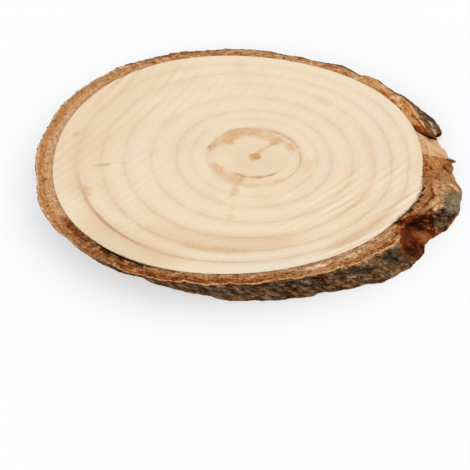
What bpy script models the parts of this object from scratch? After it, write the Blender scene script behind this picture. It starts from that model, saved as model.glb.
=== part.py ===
"""A thin oval slice sawn slantwise from a round branch, lying flat, with its ring of bark.

The shape is worked out in the branch's own section, square to the grain. There a place is an angle
round the pith and a radius. The two saw cuts are level and the branch leans between them, so a
section point (radius, angle) at a height z lies at

    x = pith_x + (thickness - z) * tan(lean) + radius * cos(angle) / cos(lean)
    y = pith_y + radius * sin(angle)

which makes a round branch into an oval slice whose sides lean. Angles are in degrees, counted
from +X towards +Y seen from above. The origin is the middle of the bounding box's underside.
"""

import math
from dataclasses import dataclass

import bmesh
import bpy
from mathutils import Matrix, Vector

MM = 0.001

# Driving sizes of the slice
THICKNESS = 8.0 * MM
LEAN = math.radians(42.0)
WOOD_RADIUS = 39.4 * MM
SEAM_GAP = 0.3 * MM
THINNEST_BARK = 0.7 * MM

# How finely the round shapes are divided
WOOD_SIDES = 180
BARK_SIDES = 300

# Lobes of the wood's outline: waves round the branch, height, angle of a crest.
# The single wave is the pith sitting off centre.
WOOD_LOBES = (
    (1, 4.4 * MM, 202.0),
    (2, 0.45 * MM, 45.0),
    (3, 0.47 * MM, -2.0),
    (4, 0.41 * MM, 42.0),
)

# A low swelling of the wood beside the worn bark: angle, half width, height
SWELLING = (-22.0, 16.0, 0.8 * MM)

# Where the bark has come loose from the wood: angle, half width, widest opening
LOOSE_SEAM = (231.0, 10.0, 0.9 * MM)

# Sound bark's thickness round the branch: angle, thickness
BARK_THICKNESS = (
    (0.0, 2.9 * MM),
    (30.0, 2.9 * MM),
    (42.0, 2.7 * MM),
    (52.0, 2.3 * MM),
    (62.0, 2.5 * MM),
    (76.0, 2.2 * MM),
    (88.0, 2.7 * MM),
    (107.0, 2.3 * MM),
    (122.0, 3.0 * MM),
    (150.0, 3.5 * MM),
    (180.0, 3.7 * MM),
    (206.0, 3.9 * MM),
    (220.0, 4.1 * MM),
    (231.0, 3.5 * MM),
    (244.0, 3.5 * MM),
    (262.0, 3.5 * MM),
    (284.0, 3.8 * MM),
    (300.0, 4.5 * MM),
    (312.0, 4.3 * MM),
    (333.0, 3.3 * MM),
    (348.0, 3.5 * MM),
)

# Heights of the bark's outer wall rows, from the top rim down, as parts of the thickness
WALL_ROWS = (0.97, 0.84, 0.66, 0.47, 0.28, 0.12, 0.0)


@dataclass(frozen=True)
class Chip:
    """A place where bark has broken away.

    Its middle is at an angle on the top face and drifts by some degrees on the way down. Bark is
    lost over the half width, and the loss fades out over the ends' widths beyond it, on the side
    of smaller angles and on the side of larger ones.
    """

    angle: float
    half_width: float
    drift: float
    top_loss: float
    bottom_loss: float
    low_end: float
    high_end: float

    def loss(self, angle: float, down: float) -> float:
        """Bark lost at an angle, from 0 at the top to 1 at the underside."""
        offset = turn_between(self.angle + self.drift * down, angle)
        end = self.high_end if offset > 0.0 else self.low_end
        part = ease(1.0 - (abs(offset) - self.half_width) / end)
        return part * (self.top_loss + (self.bottom_loss - self.top_loss) * down)


CHIPS = (
    # The bare patch, down to a thin inner skin, with a steep break at its upper end
    Chip(8.5, 6.0, 6.5, 2.6 * MM, 2.4 * MM, 3.0, 1.6),
    # The worn slope next to it, which thins the underside most
    Chip(-2.0, 4.0, 4.0, 0.0 * MM, 1.3 * MM, 6.0, 5.0),
    # The rust-red notch, which reaches the wood at the top
    Chip(-38.0, 1.2, -1.5, 3.2 * MM, 1.8 * MM, 7.0, 8.0),
    # Flakes lost from the knob's upper edge
    Chip(-14.0, 3.0, -4.0, 0.9 * MM, 0.0 * MM, 4.0, 4.0),
    # The undercut lower edge at the front left
    Chip(-120.0, 8.0, 0.0, 0.0 * MM, 0.9 * MM, 7.0, 8.0),
    # A crack in the front wall
    Chip(-82.0, 0.8, 3.0, 0.7 * MM, 0.7 * MM, 1.6, 1.6),
)


def ease(part: float) -> float:
    """Smooth step from 0 to 1, held at both ends."""
    part = min(max(part, 0.0), 1.0)
    return part * part * (3.0 - 2.0 * part)


def turn_between(start: float, end: float) -> float:
    """Smallest turn from one angle to another, in degrees, from -180 to 180."""
    return (end - start + 180.0) % 360.0 - 180.0


def bump(angle: float, centre: float, half_width: float, height: float) -> float:
    """A rounded bump that is nothing beyond its half width."""
    return height * ease(1.0 - abs(turn_between(centre, angle)) / half_width)


def wood_radius(angle: float) -> float:
    """Distance from the pith to the wood's outer surface, square to the grain."""
    radius = WOOD_RADIUS + bump(angle, *SWELLING)
    for waves, height, crest in WOOD_LOBES:
        radius += height * math.cos(math.radians(waves * (angle - crest)))
    return radius


def sound_bark(angle: float) -> float:
    """Thickness of unbroken bark, eased between the listed places."""
    angle = angle % 360.0
    places = BARK_THICKNESS + ((360.0, BARK_THICKNESS[0][1]),)
    for (start, first), (end, second) in zip(places, places[1:]):
        if angle <= end:
            return first + (second - first) * ease((angle - start) / (end - start))
    return places[-1][1]


def bark_plates(angle: float, down: float) -> float:
    """Relief of the bark's outer wall: rounded plates along the grain with furrows between.

    Two sets of ridges, each the size of a sine with its sign dropped, wander sideways on the way
    down. A slower wave breaks them across the grain.
    """
    turn = math.radians(angle)
    wander = 0.05 * math.sin(2.0 * math.pi * down + 5.0 * turn)
    broad = abs(math.sin(17.0 * (turn + wander) + 1.3 * math.sin(3.0 * turn)))
    narrow = abs(math.sin(34.5 * (turn - wander) + 0.8 * math.sin(7.0 * turn)))
    breaks = math.sin(9.0 * turn + 4.0 * down) * math.sin(5.5 * down + 2.0 * turn)
    return (0.55 * (broad - 0.64) + 0.25 * (narrow - 0.64) + 0.18 * breaks) * MM


def bark_depth(angle: float, down: float) -> float:
    """Thickness of the bark at an angle, from 0 at the top to 1 at the underside."""
    depth = sound_bark(angle) + bark_plates(angle, down)
    for chip in CHIPS:
        depth -= chip.loss(angle, down)
    return max(depth, THINNEST_BARK)


def place(radius: float, angle: float, height: float) -> Vector:
    """World point of a section point at a height, with the pith's top end over the origin."""
    turn = math.radians(angle)
    return Vector((
        (THICKNESS - height) * math.tan(LEAN) + radius * math.cos(turn) / math.cos(LEAN),
        radius * math.sin(turn),
        height,
    ))


def material(name: str, color: tuple, roughness: float) -> bpy.types.Material:
    """Principled material of one colour, not metallic."""
    made = bpy.data.materials.new(name)
    made.use_nodes = True
    shader = made.node_tree.nodes["Principled BSDF"]
    shader.inputs["Base Color"].default_value = (*color, 1.0)
    shader.inputs["Roughness"].default_value = roughness
    shader.inputs["Metallic"].default_value = 0.0
    made.diffuse_color = (*color, 1.0)
    return made


def add_object(name: str, bm: bmesh.types.BMesh, finish: bpy.types.Material) -> bpy.types.Object:
    """Turn a finished bmesh into a named object, shaded smooth up to its sharp edges."""
    mesh = bpy.data.meshes.new(name)
    bm.to_mesh(mesh)
    bm.free()
    mesh.materials.append(finish)
    mesh.shade_smooth()
    mesh.set_sharp_from_angle(angle=math.radians(38.0))
    piece = bpy.data.objects.new(name, mesh)
    bpy.context.scene.collection.objects.link(piece)
    return piece


def make_wood() -> bpy.types.Object:
    """The wood: its outline on the underside, extruded along the leaning grain to the top."""
    bm = bmesh.new()
    outline = []
    for side in range(WOOD_SIDES):
        angle = 360.0 * side / WOOD_SIDES
        outline.append(bm.verts.new(place(wood_radius(angle), angle, 0.0)))
    underside = bm.faces.new(outline)
    grown = bmesh.ops.extrude_face_region(bm, geom=[underside])["geom"]
    moved = [item for item in grown if isinstance(item, bmesh.types.BMVert)]
    along_grain = place(0.0, 0.0, THICKNESS) - place(0.0, 0.0, 0.0)
    bmesh.ops.translate(bm, verts=moved, vec=along_grain)
    cut_faces = [face for face in bm.faces if len(face.verts) == WOOD_SIDES]
    bmesh.ops.poke(bm, faces=cut_faces)
    bmesh.ops.recalc_face_normals(bm, faces=bm.faces)
    return add_object("wood", bm, material("pale_sapwood", (0.80, 0.62, 0.42), 0.62))


def bark_section(angle: float) -> list[Vector]:
    """Closed outline of the bark at one angle, from its inner foot up, over and down the wall."""
    inner = wood_radius(angle) + SEAM_GAP + bump(angle, *LOOSE_SEAM)
    top = bark_depth(angle, 0.0)
    section = [
        place(inner, angle, 0.0),
        place(inner, angle, THICKNESS),
        place(inner + 0.55 * top, angle, 0.985 * THICKNESS),
    ]
    for row in WALL_ROWS:
        section.append(place(inner + bark_depth(angle, 1.0 - row), angle, row * THICKNESS))
    return section


def make_bark() -> bpy.types.Object:
    """The bark: a closed band of sections round the branch, joined to one ring."""
    bm = bmesh.new()
    rings = []
    for side in range(BARK_SIDES):
        section = bark_section(360.0 * side / BARK_SIDES)
        rings.append([bm.verts.new(point) for point in section])
    for ring, after in zip(rings, rings[1:] + rings[:1]):
        for step in range(len(ring)):
            turn = (step + 1) % len(ring)
            bm.faces.new((ring[step], after[step], after[turn], ring[turn]))
    bmesh.ops.recalc_face_normals(bm, faces=bm.faces)
    return add_object("bark", bm, material("rough_bark", (0.22, 0.12, 0.07), 0.9))


def centre_on_base(pieces: list[bpy.types.Object]) -> None:
    """Move the meshes so that the middle of the box's underside is at the origin."""
    corners = [vertex.co for piece in pieces for vertex in piece.data.vertices]
    low = [min(corner[axis] for corner in corners) for axis in range(3)]
    high = [max(corner[axis] for corner in corners) for axis in range(3)]
    base = Vector(((low[0] + high[0]) / 2.0, (low[1] + high[1]) / 2.0, low[2]))
    for piece in pieces:
        piece.data.transform(Matrix.Translation(-base))


def main() -> None:
    """Empty the scene and make the slice."""
    for item in list(bpy.data.objects):
        bpy.data.objects.remove(item, do_unlink=True)
    centre_on_base([make_wood(), make_bark()])


main()
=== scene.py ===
"""Looks of a thin oval wood slice with its ring of bark.

Both pieces are worked out in the branch's own section, square to the grain. A place there is an
angle round the pith, in degrees from +X towards +Y, and a radius. The branch leans between the two
level saw cuts, so a section point at a height z lies at

    x = pith_x + (thickness - z) * tan(lean) + radius * cos(angle) / cos(lean)
    y = pith_y + radius * sin(angle)

Lengths in the classes are in millimetres and become metres where a mesh is written. "Down" counts
from 0 on the top face to 1 on the underside, along the leaning grain.
"""

import logging
import math
from dataclasses import dataclass, field
from enum import Enum

import bpy
import numpy as np
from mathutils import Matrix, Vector


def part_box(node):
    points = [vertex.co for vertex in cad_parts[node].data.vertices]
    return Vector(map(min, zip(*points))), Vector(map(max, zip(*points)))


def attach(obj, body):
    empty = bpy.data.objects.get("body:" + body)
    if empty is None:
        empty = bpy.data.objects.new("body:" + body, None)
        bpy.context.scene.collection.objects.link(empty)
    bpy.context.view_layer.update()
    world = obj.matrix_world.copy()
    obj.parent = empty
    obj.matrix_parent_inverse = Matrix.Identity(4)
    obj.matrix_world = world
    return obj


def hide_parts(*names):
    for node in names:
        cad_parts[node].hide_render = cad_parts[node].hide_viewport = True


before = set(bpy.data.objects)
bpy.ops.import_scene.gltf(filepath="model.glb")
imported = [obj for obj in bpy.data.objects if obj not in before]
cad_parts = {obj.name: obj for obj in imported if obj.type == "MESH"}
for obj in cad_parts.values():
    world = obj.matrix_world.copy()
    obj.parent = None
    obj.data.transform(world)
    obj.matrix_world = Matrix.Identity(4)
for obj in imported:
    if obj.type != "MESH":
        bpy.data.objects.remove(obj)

Array = np.ndarray
Color = tuple[float, float, float]
log = logging.getLogger("wood_slice")

MM = 0.001
BRIGHTNESS = 1.22        # how many times a white level surface outshines the display's white


# Small functions on arrays

def ease(part: Array) -> Array:
    """Smooth step from 0 to 1, 3 p^2 - 2 p^3, held at both ends."""
    part = np.clip(part, 0.0, 1.0)
    return part * part * (3.0 - 2.0 * part)


def turn_between(start: float | Array, end: Array) -> Array:
    """Smallest turn from one angle to another, in degrees, from -180 to 180."""
    return (end - start + 180.0) % 360.0 - 180.0


def bump(angle: Array, centre: float, half_width: float) -> Array:
    """A rounded bump, 1 at its centre and nothing beyond its half width."""
    return ease(1.0 - np.abs(turn_between(centre, angle)) / half_width)


def window(value: Array, low: float, high: float, edge: float) -> Array:
    """1 between low and high, easing to 0 over the edge's width outside them."""
    return ease((value - low) / edge + 1.0) * ease((high - value) / edge + 1.0)


def seen(red: float, green: float, blue: float) -> Color:
    """The surface colour that looks like given display values in the studio's light.

    Args:
        red: display value, 0 to 255.
        green: display value, 0 to 255.
        blue: display value, 0 to 255.

    Returns:
        Linear red, green and blue.
    """
    def linear(value: float) -> float:
        """One display value as a linear one, less the studio's brightness."""
        value /= 255.0
        return (value / 12.92 if value <= 0.04045 else ((value + 0.055) / 1.055) ** 2.4) / BRIGHTNESS

    return linear(red), linear(green), linear(blue)


@dataclass(frozen=True)
class Noise:
    """Repeatable roughness in space, from numbers hashed out of whole cells."""

    seed: int

    def _hashed(self, cell: Array, channel: int = 0) -> Array:
        """A number from 0 to 1 for each whole cell, the same each run.

        Args:
            cell: whole numbers, three in the last axis.
            channel: picks one of several independent numbers for a cell.

        Returns:
            One number for each cell.
        """
        whole = (cell.astype(np.int64) & 0xFFFFFFFF).astype(np.uint32)
        mixed = whole[..., 0] * np.uint32(73856093)
        mixed ^= whole[..., 1] * np.uint32(19349663)
        mixed ^= whole[..., 2] * np.uint32(83492791)
        mixed ^= np.uint32((self.seed * 2654435761 + channel * 40503) & 0xFFFFFFFF)
        for factor in (np.uint32(2246822519), np.uint32(3266489917)):
            mixed ^= mixed >> np.uint32(15)
            mixed *= factor
        mixed ^= mixed >> np.uint32(16)
        return mixed.astype(np.float64) / 4294967295.0

    def value(self, points: Array) -> Array:
        """Smooth noise from -1 to 1: cell corners' numbers, blended by a quintic in each axis.

        Args:
            points: places in units of a cell, three numbers in the last axis.

        Returns:
            One number for each place.
        """
        base = np.floor(points)
        part = points - base
        part = part ** 3 * (part * (part * 6.0 - 15.0) + 10.0)
        total = np.zeros(points.shape[:-1])
        for corner in np.ndindex(2, 2, 2):
            step = np.array(corner)
            weight = np.prod(np.where(step == 1, part, 1.0 - part), axis=-1)
            total += weight * self._hashed(base + step)
        return 2.0 * total - 1.0

    def fractal(self, points: Array, octaves: int = 4, gain: float = 0.5) -> Array:
        """Sum of noises, each at twice the fineness and gain times the height of the last.

        Args:
            points: places in units of the broadest noise's cell, three numbers in the last axis.
            octaves: how many noises.
            gain: height of each as a share of the last one's.

        Returns:
            One number for each place, from -1 to 1.
        """
        total = np.zeros(points.shape[:-1])
        height, norm = 1.0, 0.0
        for octave in range(octaves):
            total += height * self.value(points * 2.0 ** octave + 17.3 * octave)
            norm += height
            height *= gain
        return total / norm

    def cells(self, points: Array) -> tuple[Array, Array]:
        """Plates grown from one scattered seed point in each cell.

        Args:
            points: places in units of a cell, three numbers in the last axis.

        Returns:
            How much nearer the nearest seed point is than the second, 0 on a plate's border,
            and a number from 0 to 1 that belongs to the plate.
        """
        base = np.floor(points)
        nearest = np.full(points.shape[:-1], 9.0)
        second = nearest.copy()
        owner = nearest.copy()
        for around in np.ndindex(3, 3, 3):
            cell = base + np.array(around) - 1.0
            seed_point = cell + np.stack([self._hashed(cell, c) for c in (1, 2, 3)], axis=-1)
            distance = np.linalg.norm(points - seed_point, axis=-1)
            closer = distance < nearest
            second = np.where(closer, nearest, np.minimum(second, distance))
            owner = np.where(closer, self._hashed(cell, 4), owner)
            nearest = np.where(closer, distance, nearest)
        return second - nearest, owner


# The branch that both pieces are cut from

class Stretch(Enum):
    """Stretches round the branch: first and last angle, and the width of the fade beyond them."""

    STAINED_EDGE = (-40.0, -14.0, 8.0)       # wood beside the worn bark
    BACK_EDGE = (50.0, 125.0, 14.0)          # clean wood at the back
    LEFT_EDGE = (140.0, 196.0, 14.0)         # clean wood at the left
    CRUMBLY = (-36.0, -16.0, 6.0)            # dark crumbs between wood and bark
    FRONT = (236.0, 312.0, 12.0)             # an even pale line at the rim
    FRONT_LAYERS = (236.0, 318.0, 10.0)      # the layers show most
    LEFT = (135.0, 228.0, 14.0)              # a wide pale line at the rim
    LEFT_SMOOTH = (142.0, 204.0, 14.0)       # a smooth sawn face
    LEFT_SKIN = (140.0, 222.0, 20.0)         # dark skin starts a little further in
    BACK_SKIN = (62.0, 124.0, 16.0)          # dark skin starts far in
    BACK_BLOTCHES = (30.0, 128.0, 16.0)      # large blotches on the sawn face
    FAR_SIDE = (20.0, 228.0, 10.0)           # a slightly smoother sawn face
    FAR_WALL = (70.0, 222.0, 20.0)           # an even wall
    GREY_WALL = (70.0, 215.0, 20.0)          # scattered grey patches on the wall
    TIP_SKIN = (17.0, 40.0, 12.0)            # dark skin over the tip
    SLOPE = (-22.0, 2.0, 4.0)                # the worn slope's smooth outer part
    RUST = (-48.0, -37.0, 3.0)               # smooth rust-red wall in the notch
    KNOB = (-26.0, -14.0, 3.0)               # fresh bark at the knob's top edge
    WORN = (-16.0, 2.0, 4.0)                 # smooth worn wall
    FRESH = (-17.0, 12.0, 2.0)               # wall without skin
    FIBRES = (-17.0, 12.0, 4.0)              # fibres show on the wall
    SHADED = (-3.0, 9.0, 4.0)                # the bare patch's top edge is browner

    def share(self, angle: Array) -> Array:
        """1 inside the stretch, easing to 0 over the fade's width outside it.

        Args:
            angle: angles in degrees.

        Returns:
            The stretch's share, from 0 to 1.
        """
        low, high, fade = self.value
        half = 0.5 * (high - low)
        return window(turn_between(low + half, angle), -half, half, fade)


@dataclass(frozen=True)
class Branch:
    """The round branch and the two saw cuts through it."""

    lean: float = math.radians(42.0)
    thickness: float = 8.0
    wood: float = 39.4
    lobes: tuple = ((1, 4.4, 202.0), (2, 0.45, 45.0), (3, 0.47, -2.0), (4, 0.41, 42.0))
    swelling: tuple = (-22.0, 16.0, 0.8)
    pith: tuple[float, float] = (0.0, 0.0)

    def wood_radius(self, angle: Array) -> Array:
        """Distance from the pith to the wood's outside: mean radius plus waves and a swelling.

        Args:
            angle: angles in degrees.

        Returns:
            Radius in millimetres for each angle.
        """
        centre, half_width, height = self.swelling
        radius = self.wood + height * bump(angle, centre, half_width)
        for waves, size, crest in self.lobes:
            radius = radius + size * np.cos(np.radians(waves * (angle - crest)))
        return radius

    def place(self, radius: Array, angle: Array, height: Array) -> Array:
        """World points of section points at a height, by the formula at the file's top.

        Args:
            radius: distances from the pith.
            angle: angles in degrees.
            height: heights over the table.

        Returns:
            Points in millimetres, three numbers in the last axis.
        """
        turn = np.radians(angle)
        x = self.pith[0] + (self.thickness - height) * math.tan(self.lean)
        x = x + radius * np.cos(turn) / math.cos(self.lean)
        y = self.pith[1] + radius * np.sin(turn) + 0.0 * height
        return np.stack(np.broadcast_arrays(x, y, height), axis=-1)

    def section_points(self, radius: Array, angle: Array, down: Array) -> Array:
        """Places in the section and along the grain, for noise that follows the wood.

        Args:
            radius: distances from the pith.
            angle: angles in degrees.
            down: shares of the way down.

        Returns:
            Section x, section y and length along the grain in the last axis.
        """
        turn = np.radians(angle)
        along = down * self.thickness / math.cos(self.lean)
        return np.stack(
            np.broadcast_arrays(radius * np.cos(turn), radius * np.sin(turn), along), axis=-1)

    @classmethod
    def from_frame(cls) -> "Branch":
        """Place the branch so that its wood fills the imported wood's box.

        Returns:
            The branch, with its pith's place on the top face.
        """
        plain = cls()
        angle = np.arange(0.0, 360.0, 2.0)
        outline = plain.place(plain.wood_radius(angle), angle, np.full_like(angle, plain.thickness))
        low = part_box("wood")[0]
        offset = np.array([low.x, low.y]) / MM - outline.min(axis=0)[:2]
        return cls(pith=(float(offset[0]), float(offset[1])))


def closed_grid(name: str, points: Array, poles: bool) -> bpy.types.Object:
    """A mesh from a grid of points that closes on itself.

    Args:
        name: the object's name.
        points: rows by columns by 3, in millimetres. Columns go once round and join up. Rows join
            last to first, or end in a pole at each end.
        poles: whether the first and the last row are single points.

    Returns:
        The new object, at the origin, with one vertex for each grid point (or pole).
    """
    rows, columns = points.shape[:2]
    loops = rows - 2 if poles else rows
    number = np.arange(loops * columns).reshape(loops, columns)
    after = np.roll(number, -1, axis=1)
    if poles:
        corners = np.concatenate([points[1:-1].reshape(-1, 3), points[0, :1], points[-1, :1]])
        quads = np.stack([number[:-1], after[:-1], after[1:], number[1:]], axis=-1)
        first, last = np.full(columns, number.size), np.full(columns, number.size + 1)
        fans = np.concatenate([
            np.stack([first, after[0], number[0]], axis=-1),
            np.stack([last, number[-1], after[-1]], axis=-1)])
        faces = quads.reshape(-1, 4).tolist() + fans.tolist()
    else:
        corners = points.reshape(-1, 3)
        lower, lower_after = np.roll(number, -1, axis=0), np.roll(after, -1, axis=0)
        faces = np.stack([number, after, lower_after, lower], axis=-1).reshape(-1, 4).tolist()
    mesh = bpy.data.meshes.new(name)
    mesh.from_pydata((corners * MM).tolist(), [], faces)
    mesh.validate()
    mesh.shade_smooth()
    made = bpy.data.objects.new(name, mesh)
    bpy.context.scene.collection.objects.link(made)
    return made


def store(piece: bpy.types.Object, name: str, values: Array, poles: bool) -> None:
    """Keep one number for each vertex of a closed grid, for its material to read.

    Args:
        piece: an object from closed_grid.
        name: the attribute's name.
        values: rows by columns, as the grid's points.
        poles: whether the grid ends in poles.
    """
    flat = values.ravel()
    if poles:
        flat = np.concatenate([values[1:-1].ravel(), values[0, :1], values[-1, :1]])
    attribute = piece.data.attributes.new(name, "FLOAT", "POINT")
    attribute.data.foreach_set("value", flat.astype(np.float32))


# Shader maths

class Wire:
    """A value on its way through a material: a node's output, with Python's operators."""

    def __init__(self, paint: "Paint", socket: bpy.types.NodeSocket) -> None:
        """Wrap one output socket of a paint's node tree."""
        self.paint = paint
        self.socket = socket

    def _math(self, operation: str, *values: "Wire | float") -> "Wire":
        """A Math node on up to three values."""
        return self.paint.node("ShaderNodeMath", {"operation": operation}, dict(enumerate(values)))

    def __add__(self, other: "Wire | float") -> "Wire":
        """Sum."""
        return self._math("ADD", self, other)

    __radd__ = __add__

    def __sub__(self, other: "Wire | float") -> "Wire":
        """Difference."""
        return self._math("SUBTRACT", self, other)

    def __rsub__(self, other: float) -> "Wire":
        """Difference from a number."""
        return self._math("SUBTRACT", other, self)

    def __mul__(self, other: "Wire | float") -> "Wire":
        """Product."""
        return self._math("MULTIPLY", self, other)

    __rmul__ = __mul__

    def __truediv__(self, other: "Wire | float") -> "Wire":
        """Quotient."""
        return self._math("DIVIDE", self, other)

    def size(self) -> "Wire":
        """The value without its sign."""
        return self._math("ABSOLUTE", self)

    def sine(self) -> "Wire":
        """Sine of the value in radians."""
        return self._math("SINE", self)

    def rise(self, low: float, high: float) -> "Wire":
        """Smooth step from 0 at low to 1 at high.

        Args:
            low: where the step is 0.
            high: where the step is 1. It may be less than low.

        Returns:
            The step, from 0 to 1.
        """
        settings = {"interpolation_type": "SMOOTHSTEP"}
        if low < high:
            return self.paint.node(
                "ShaderNodeMapRange", settings, {"Value": self, "From Min": low, "From Max": high})
        rising = self.paint.node(
            "ShaderNodeMapRange", settings, {"Value": self, "From Min": high, "From Max": low})
        return 1.0 - rising

    def line(self, centre: float, half_width: float) -> "Wire":
        """A soft line: 1 at the centre, nothing beyond the half width."""
        return (self - centre).size().rise(half_width, 0.0)


class Paint:
    """One material and the short ways to build its nodes."""

    def __init__(self, name: str, branch: Branch) -> None:
        """Make an empty node material with a Principled shader.

        Args:
            name: the material's name.
            branch: the branch whose coordinates the nodes use.
        """
        self.material = bpy.data.materials.new(name)
        self.material.use_nodes = True
        self.tree = self.material.node_tree
        self.shader = self.tree.nodes["Principled BSDF"]
        self.branch = branch

    def node(self, kind: str, settings: dict, values: dict, output: int | str = 0) -> Wire:
        """Add a node of any kind.

        Args:
            kind: the node's type name.
            settings: properties to set first. "stops" gives a ramp's places and colours.
            values: socket index or name to a Wire, a number or a colour.
            output: which output to return.

        Returns:
            The node's output as a Wire.
        """
        made = self.tree.nodes.new(kind)
        for key, setting in settings.items():
            if key == "stops":
                self._set_stops(made.color_ramp, setting)
            else:
                setattr(made, key, setting)
        for key, value in values.items():
            if isinstance(value, Wire):
                self.tree.links.new(value.socket, made.inputs[key])
            else:
                made.inputs[key].default_value = value
        return Wire(self, made.outputs[output])

    @staticmethod
    def _set_stops(ramp: bpy.types.ColorRamp, stops: tuple) -> None:
        """Give a ramp its places and colours.

        Args:
            ramp: a new ramp, which has two stops.
            stops: pairs of a place from 0 to 1 and a colour, in order.
        """
        while len(ramp.elements) < len(stops):
            ramp.elements.new(0.5)
        for element, (place, color) in zip(ramp.elements, stops):
            element.position = place
            element.color = (*color, 1.0)

    def attribute(self, name: str) -> Wire:
        """A number kept on the mesh by store()."""
        return self.node("ShaderNodeAttribute", {"attribute_name": name}, {}, "Fac")

    def object_point(self) -> Wire:
        """The surface point in the object's own coordinates."""
        return self.node("ShaderNodeTexCoord", {}, {}, "Object")

    def dot(self, vector: Wire, direction: tuple) -> Wire:
        """Dot product with a fixed direction."""
        settings = {"operation": "DOT_PRODUCT"}
        return self.node("ShaderNodeVectorMath", settings, {0: vector, 1: direction}, "Value")

    def section_point(self, stretch: float) -> Wire:
        """The point in the branch's section, in millimetres, with the grain as third axis.

        The first number is x cos(lean) + z sin(lean) less the pith's, the second is y less the
        pith's, and the third is the way down along the grain divided by the stretch.

        Args:
            stretch: how many times longer than wide the noise on this point comes out.

        Returns:
            The point as a vector.
        """
        lean, thickness = self.branch.lean, self.branch.thickness
        point = self.object_point()
        first = self.dot(point, (math.cos(lean) / MM, 0.0, math.sin(lean) / MM))
        first = first - (self.branch.pith[0] * math.cos(lean) + thickness * math.sin(lean))
        second = self.dot(point, (0.0, 1.0 / MM, 0.0)) - self.branch.pith[1]
        along = self.dot(point, (0.0, 0.0, -1.0 / (MM * math.cos(lean) * stretch)))
        along = along + thickness / (math.cos(lean) * stretch)
        return self.node("ShaderNodeCombineXYZ", {}, {0: first, 1: second, 2: along})

    def noise(self, vector: Wire, size: float, detail: float = 3.0, distortion: float = 0.0) -> Wire:
        """Soft noise around 0.5 with features of about that size, in the vector's units."""
        values = {"Vector": vector, "Scale": 1.0 / size, "Detail": detail, "Distortion": distortion}
        return self.node("ShaderNodeTexNoise", {}, values, "Fac")

    def spots(self, vector: Wire, size: float) -> Wire:
        """Distance to the nearest of scattered points, in cells of that size."""
        values = {"Vector": vector, "Scale": 1.0 / size}
        return self.node("ShaderNodeTexVoronoi", {}, values, "Distance")

    def stretched(self, along: float, across: float) -> Wire:
        """A point that follows the bark's layers round the branch.

        The mesh keeps a turning unit vector and the depth in the bark. The vector is scaled to the
        branch's size over the length along, and the depth is divided by the length across.

        Args:
            along: length of a feature round the branch, in millimetres.
            across: width of a feature through the bark, in millimetres.

        Returns:
            The point as a vector, in units of a feature.
        """
        size = self.branch.wood / along
        return self.node("ShaderNodeCombineXYZ", {}, {
            0: self.attribute("round_x") * size,
            1: self.attribute("round_y") * size,
            2: self.attribute("deep") / across,
        })

    def along_rings(self, along: float, across: float) -> Wire:
        """Noise drawn out along the growth rings.

        Args:
            along: length of a feature along the rings, in millimetres.
            across: width of a feature across them, in millimetres.

        Returns:
            Noise around 0.5.
        """
        point = self.section_point(stretch=1.0)
        vector = self.node("ShaderNodeCombineXYZ", {}, {
            0: self.dot(point, (1.0 / along, 0.0, 0.0)),
            1: self.dot(point, (0.0, 1.0 / along, 0.0)),
            2: self.attribute("ring_radius") / across,
        })
        return self.noise(vector, 1.0, 3.0)

    def layered(self, along: float, across: float) -> Wire:
        """Noise drawn out along the bark's layers, of those two lengths in millimetres."""
        return self.noise(self.stretched(along, across), 1.0, 3.0)

    def mix(self, factor: Wire | float, first: Wire | Color, second: Wire | Color) -> Wire:
        """Blend of two colours.

        Args:
            factor: share of the second colour, held between 0 and 1.
            first: a colour.
            second: a colour.

        Returns:
            The blend.
        """
        first = first if isinstance(first, Wire) else (*first, 1.0)
        second = second if isinstance(second, Wire) else (*second, 1.0)
        # In a colour mix the two colours are sockets 6 and 7, and the result is output 2
        settings = {"data_type": "RGBA", "clamp_factor": True}
        return self.node("ShaderNodeMix", settings, {0: factor, 6: first, 7: second}, 2)

    def shade(self, color: Wire, amount: Wire) -> Wire:
        """A colour multiplied by a grey value."""
        grey = self.node("ShaderNodeCombineXYZ", {}, {0: amount, 1: amount, 2: amount})
        return self.node("ShaderNodeVectorMath", {"operation": "MULTIPLY"}, {0: color, 1: grey})

    def ramp(self, value: Wire, stops: tuple) -> Wire:
        """A colour from a ramp of stops."""
        return self.node("ShaderNodeValToRGB", {"stops": stops}, {"Fac": value})

    def finish(self, color: Wire, roughness: Wire, height: Wire, depth: float) -> None:
        """Feed the shader.

        Args:
            color: base colour.
            roughness: roughness.
            height: relief from about 0 to 1.
            depth: how high a relief of 1 is, in millimetres.
        """
        values = {"Strength": 1.0, "Distance": depth * MM, "Height": height}
        normal = self.node("ShaderNodeBump", {}, values)
        for socket, wire in (("Base Color", color), ("Roughness", roughness), ("Normal", normal)):
            self.tree.links.new(wire.socket, self.shader.inputs[socket])


# The wood

@dataclass(frozen=True)
class Saw:
    """Marks of a round blade fed along X: arcs, each one feed step past the last."""

    blade_radius: float = 176.0
    blade_above_pith: float = 124.0
    feed: float = 3.55
    height: float = 0.05

    def turns(self, branch: Branch, points: Array) -> Array:
        """How many feed steps the blade's centre had moved when it touched a point.

        The blade's centre is at x - sqrt(radius^2 - (y - centre_y)^2) when its rim passes (x, y).

        Args:
            branch: the branch under the saw.
            points: points on a sawn face, in millimetres.

        Returns:
            Feed steps for each point.
        """
        across = points[..., 1] - branch.pith[1] - self.blade_above_pith
        centre = points[..., 0] - np.sqrt(self.blade_radius ** 2 - across ** 2)
        return centre / self.feed


class Ring(Enum):
    """Named growth rings, by their mean radius in millimetres and how strongly they show."""

    FIRST = (7.2, 0.25)
    HEART = (10.1, 0.6)
    FAINT = (13.6, 0.45)
    SECOND = (16.9, 0.80)
    THIRD = (22.0, 0.80)
    FOURTH = (27.1, 0.95)
    FIFTH = (31.4, 1.15)
    LAST = (35.5, 1.0)


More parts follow.
